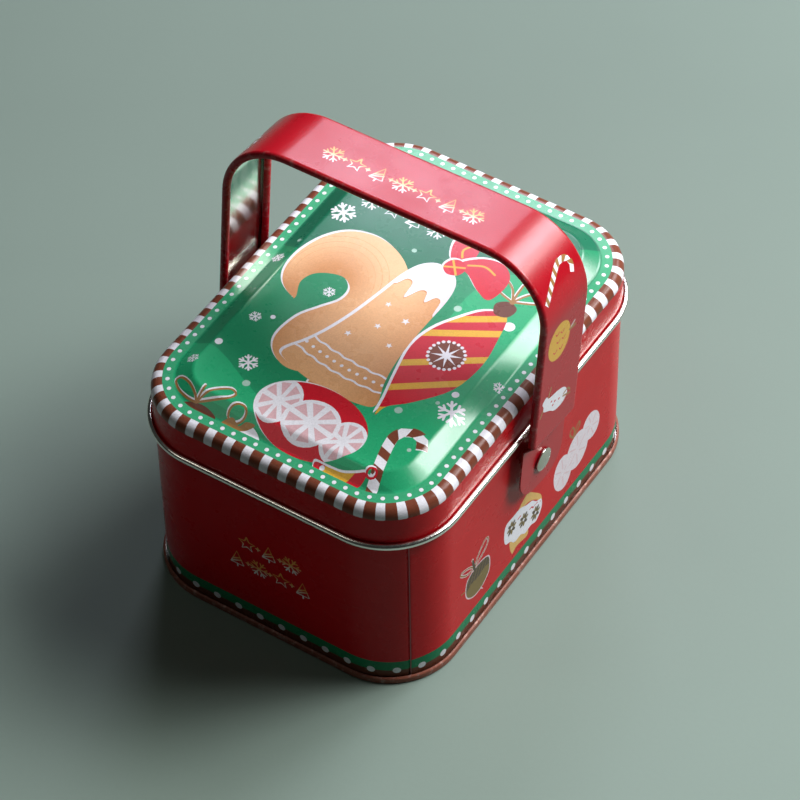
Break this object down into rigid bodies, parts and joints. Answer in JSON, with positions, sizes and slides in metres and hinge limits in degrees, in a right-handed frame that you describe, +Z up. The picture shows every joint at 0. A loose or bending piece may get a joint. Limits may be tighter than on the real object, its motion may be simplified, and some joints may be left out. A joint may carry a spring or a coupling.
{
  "type": "rectangular tin with lid and swinging handle",
  "caption": "Small rounded rectangular sheet-metal cookie tin with a lift-off lid and a strap handle that swings on side rivets.",
  "frame": {"origin": "centre of the bounding box at the plane the tin stands on", "axes": "+X across the short side, along the handle's rivet axis; +Y along the long side; +Z up"},
  "size_m": [0.0832, 0.1034, 0.0952],
  "materials": {
    "printed_wall": "satin varnished print on tinplate",
    "printed_bead": "satin varnished print on tinplate",
    "printed_lid": "satin varnished print on tinplate",
    "printed_strap": "satin varnished print on tinplate",
    "bare_metal": "bright tin"
  },
  "bodies": {
    "tin_base": {"body_wall": "printed_wall", "base_plate": "printed_bead", "rivet_left": "bare_metal", "rivet_right": "bare_metal", "spacer_left": "bare_metal", "spacer_right": "bare_metal"},
    "lid": {"lid_shell": "printed_lid"},
    "handle": {"handle_strap": "printed_strap"}
  },
  "joints": [
    {"name": "lid_lift", "type": "slide", "parent": "tin_base", "child": "lid", "axis": [0, 0, 1], "range_m": [0, 0.015]},
    {"name": "handle_swing", "type": "hinge", "parent": "tin_base", "child": "handle", "pos_m": [0, 0, 0.0351], "axis": [1, 0, 0], "range_deg": [-102, 116]}
  ]
}
